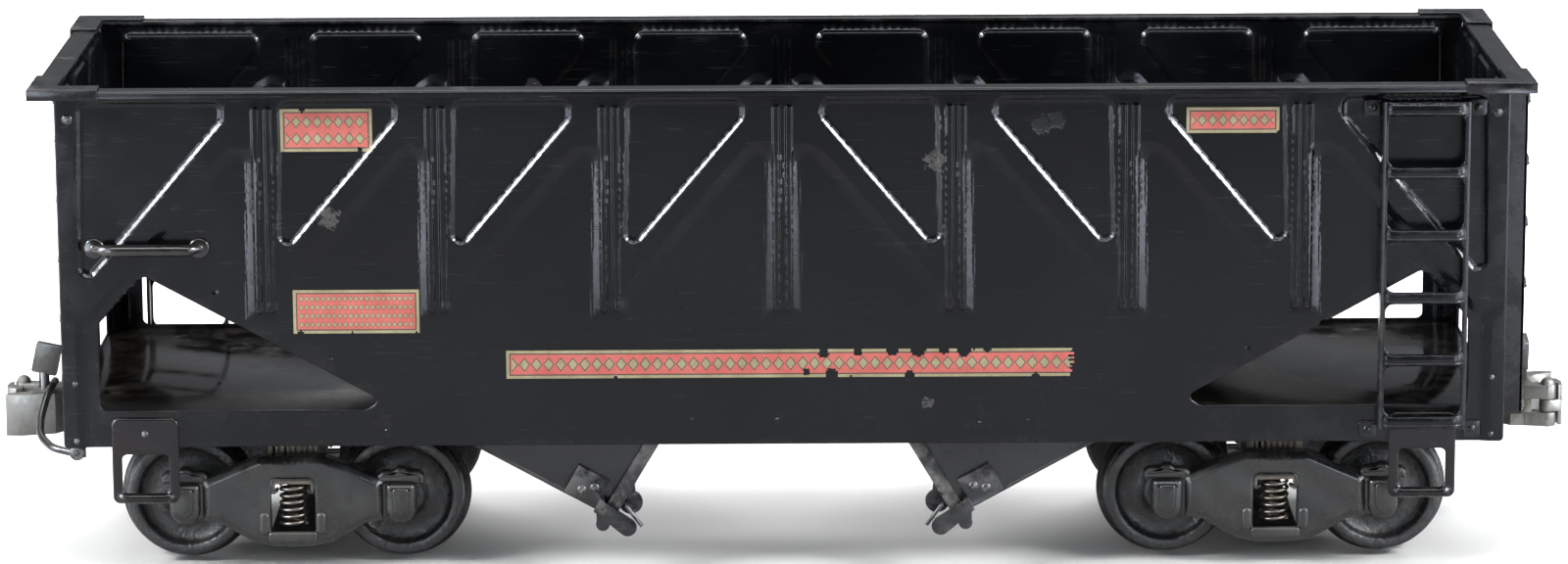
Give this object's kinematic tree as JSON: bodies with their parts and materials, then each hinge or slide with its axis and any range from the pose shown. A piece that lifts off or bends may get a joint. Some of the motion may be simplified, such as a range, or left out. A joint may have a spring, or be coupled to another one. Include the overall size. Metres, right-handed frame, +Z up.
{
  "type": "model hopper car",
  "caption": "Large-scale model railway hopper car with pressed steel sides, sloping floors, two drop doors, sprung swivelling trucks, hinged couplers, ladders and steps.",
  "frame": {"origin": "centre of the car's footprint, at the bottom of the wheel flanges", "axes": "+X along the car, +Y across it, +Z up"},
  "size_m": [0.562, 0.1598, 0.1755],
  "materials": {
    "black_enamel": "gloss baked enamel with fine scuffs",
    "floor_enamel": "gloss enamel, brown-black",
    "worn_enamel": "enamel worn to brown on the grip",
    "dark_enamel": "satin enamel",
    "bright_steel": "bare drawn steel",
    "cast_black": "satin enamel on pressed and cast steel, with dust",
    "dusty_steel": "thin enamel with tan dust",
    "spring_steel": "oily spring steel with dust",
    "wheel_iron": "rough casting under thin black paint",
    "axle_steel": "turned steel",
    "coupler_metal": "grey die casting",
    "lock_metal": "worn black plating over grey metal"
  },
  "bodies": {
    "carbody": {"side_panel_near": "black_enamel", "side_panel_far": "black_enamel", "end_panel_a": "black_enamel", "end_panel_b": "black_enamel", "top_rim": "black_enamel", "corner_caps": "black_enamel", "slope_sheet_a": "black_enamel", "slope_sheet_b": "black_enamel", "hopper_sides_a": "black_enamel", "hopper_sides_b": "black_enamel", "centre_ridge": "black_enamel", "floor_plate_a": "floor_enamel", "floor_plate_b": "floor_enamel", "end_sill_a": "black_enamel", "end_sill_b": "black_enamel", "side_ladder_near": "black_enamel", "side_ladder_far": "black_enamel", "end_ladder_a": "black_enamel", "end_ladder_b": "black_enamel", "grab_iron_near": "worn_enamel", "grab_iron_far": "worn_enamel", "stirrup_steps": "black_enamel", "latch_brackets": "dark_enamel", "door_hinge_pins": "bright_steel", "rivets": "black_enamel", "body_bolsters": "dark_enamel", "coupler_pockets": "dark_enamel", "lever_hangers": "dark_enamel"},
    "truck_a": {"bolster_a": "cast_black"},
    "truck_frame_a": {"side_frames_a": "cast_black", "spring_plank_a": "dusty_steel", "springs_a": "spring_steel"},
    "wheelset_a1": {"wheels_a1": "wheel_iron", "axle_a1": "axle_steel"},
    "wheelset_a2": {"wheels_a2": "wheel_iron", "axle_a2": "axle_steel"},
    "coupler_a": {"coupler_head_a": "coupler_metal"},
    "knuckle_a": {"knuckle_a": "coupler_metal"},
    "lock_a": {"lock_pin_a": "lock_metal"},
    "lever_a": {"cut_lever_a": "black_enamel"},
    "door_a": {"door_a": "black_enamel"},
    "latch_a": {"latch_rod_a": "bright_steel"},
    "truck_b": {"bolster_b": "cast_black"},
    "truck_frame_b": {"side_frames_b": "cast_black", "spring_plank_b": "dusty_steel", "springs_b": "spring_steel"},
    "wheelset_b1": {"wheels_b1": "wheel_iron", "axle_b1": "axle_steel"},
    "wheelset_b2": {"wheels_b2": "wheel_iron", "axle_b2": "axle_steel"},
    "coupler_b": {"coupler_head_b": "coupler_metal"},
    "knuckle_b": {"knuckle_b": "coupler_metal"},
    "lock_b": {"lock_pin_b": "lock_metal"},
    "lever_b": {"cut_lever_b": "black_enamel"},
    "door_b": {"door_b": "black_enamel"},
    "latch_b": {"latch_rod_b": "bright_steel"}
  },
  "joints": [
    {"name": "truck_swivel_a", "type": "hinge", "parent": "carbody", "child": "truck_a", "pos_m": [-0.173, 0, 0.042], "axis": [0, 0, 1], "range_deg": [-7, 7]},
    {"name": "frame_rise_a", "type": "slide", "parent": "truck_a", "child": "truck_frame_a", "axis": [0, 0, 1], "range_m": [0, 0.002], "stiffness_N_per_m": 8000, "springref_m": -0.004, "deforming": ["springs_a"]},
    {"name": "wheels_roll_a1", "type": "hinge", "parent": "truck_frame_a", "child": "wheelset_a1", "pos_m": [-0.211, 0, 0.024], "axis": [0, 1, 0], "continuous": true},
    {"name": "wheels_roll_a2", "type": "hinge", "parent": "truck_frame_a", "child": "wheelset_a2", "pos_m": [-0.135, 0, 0.024], "axis": [0, 1, 0], "continuous": true},
    {"name": "coupler_swing_a", "type": "hinge", "parent": "carbody", "child": "coupler_a", "pos_m": [-0.24, 0, 0.045], "axis": [0, 0, 1], "range_deg": [-6, 6]},
    {"name": "knuckle_open_a", "type": "hinge", "parent": "coupler_a", "child": "knuckle_a", "pos_m": [-0.2754, 0.008, 0.045], "axis": [0, 0, -1], "range_deg": [0, 50]},
    {"name": "lever_lift_a", "type": "hinge", "parent": "carbody", "child": "lever_a", "pos_m": [-0.2475, -0.0674, 0.0444], "axis": [0, 1, 0], "range_deg": [0, 15]},
    {"name": "lock_lift_a", "type": "slide", "parent": "coupler_a", "child": "lock_a", "axis": [0, 0, 1], "range_m": [0, 0.0045]},
    {"name": "door_drop_a", "type": "hinge", "parent": "carbody", "child": "door_a", "pos_m": [-0.0346, 0, 0.0606], "axis": [0, -1, 0], "range_deg": [0, 40]},
    {"name": "latch_turn_a", "type": "hinge", "parent": "door_a", "child": "latch_a", "pos_m": [-0.055, 0, 0.0249], "axis": [0, -1, 0], "range_deg": [0, 90]},
    {"name": "truck_swivel_b", "type": "hinge", "parent": "carbody", "child": "truck_b", "pos_m": [0.173, 0, 0.042], "axis": [0, 0, 1], "range_deg": [-7, 7]},
    {"name": "frame_rise_b", "type": "slide", "parent": "truck_b", "child": "truck_frame_b", "axis": [0, 0, 1], "range_m": [0, 0.002], "stiffness_N_per_m": 8000, "springref_m": -0.004, "deforming": ["springs_b"]},
    {"name": "wheels_roll_b1", "type": "hinge", "parent": "truck_frame_b", "child": "wheelset_b1", "pos_m": [0.135, 0, 0.024], "axis": [0, 1, 0], "continuous": true},
    {"name": "wheels_roll_b2", "type": "hinge", "parent": "truck_frame_b", "child": "wheelset_b2", "pos_m": [0.211, 0, 0.024], "axis": [0, 1, 0], "continuous": true},
    {"name": "coupler_swing_b", "type": "hinge", "parent": "carbody", "child": "coupler_b", "pos_m": [0.24, 0, 0.045], "axis": [0, 0, 1], "range_deg": [-6, 6]},
    {"name": "knuckle_open_b", "type": "hinge", "parent": "coupler_b", "child": "knuckle_b", "pos_m": [0.2754, -0.008, 0.045], "axis": [0, 0, -1], "range_deg": [0, 50]},
    {"name": "lever_lift_b", "type": "hinge", "parent": "carbody", "child": "lever_b", "pos_m": [0.2475, 0.0674, 0.0444], "axis": [0, -1, 0], "range_deg": [0, 15]},
    {"name": "lock_lift_b", "type": "slide", "parent": "coupler_b", "child": "lock_b", "axis": [0, 0, 1], "range_m": [0, 0.0045]},
    {"name": "door_drop_b", "type": "hinge", "parent": "carbody", "child": "door_b", "pos_m": [0.0346, 0, 0.0606], "axis": [0, 1, 0], "range_deg": [0, 40]},
    {"name": "latch_turn_b", "type": "hinge", "parent": "door_b", "child": "latch_b", "pos_m": [0.055, 0, 0.0249], "axis": [0, 1, 0], "range_deg": [0, 90]}
  ],
  "couplings": [
    {"joint": "lock_lift_a", "follows": "lever_lift_a", "m_per_rad": 0.0165},
    {"joint": "lock_lift_b", "follows": "lever_lift_b", "m_per_rad": 0.0165}
  ]
}
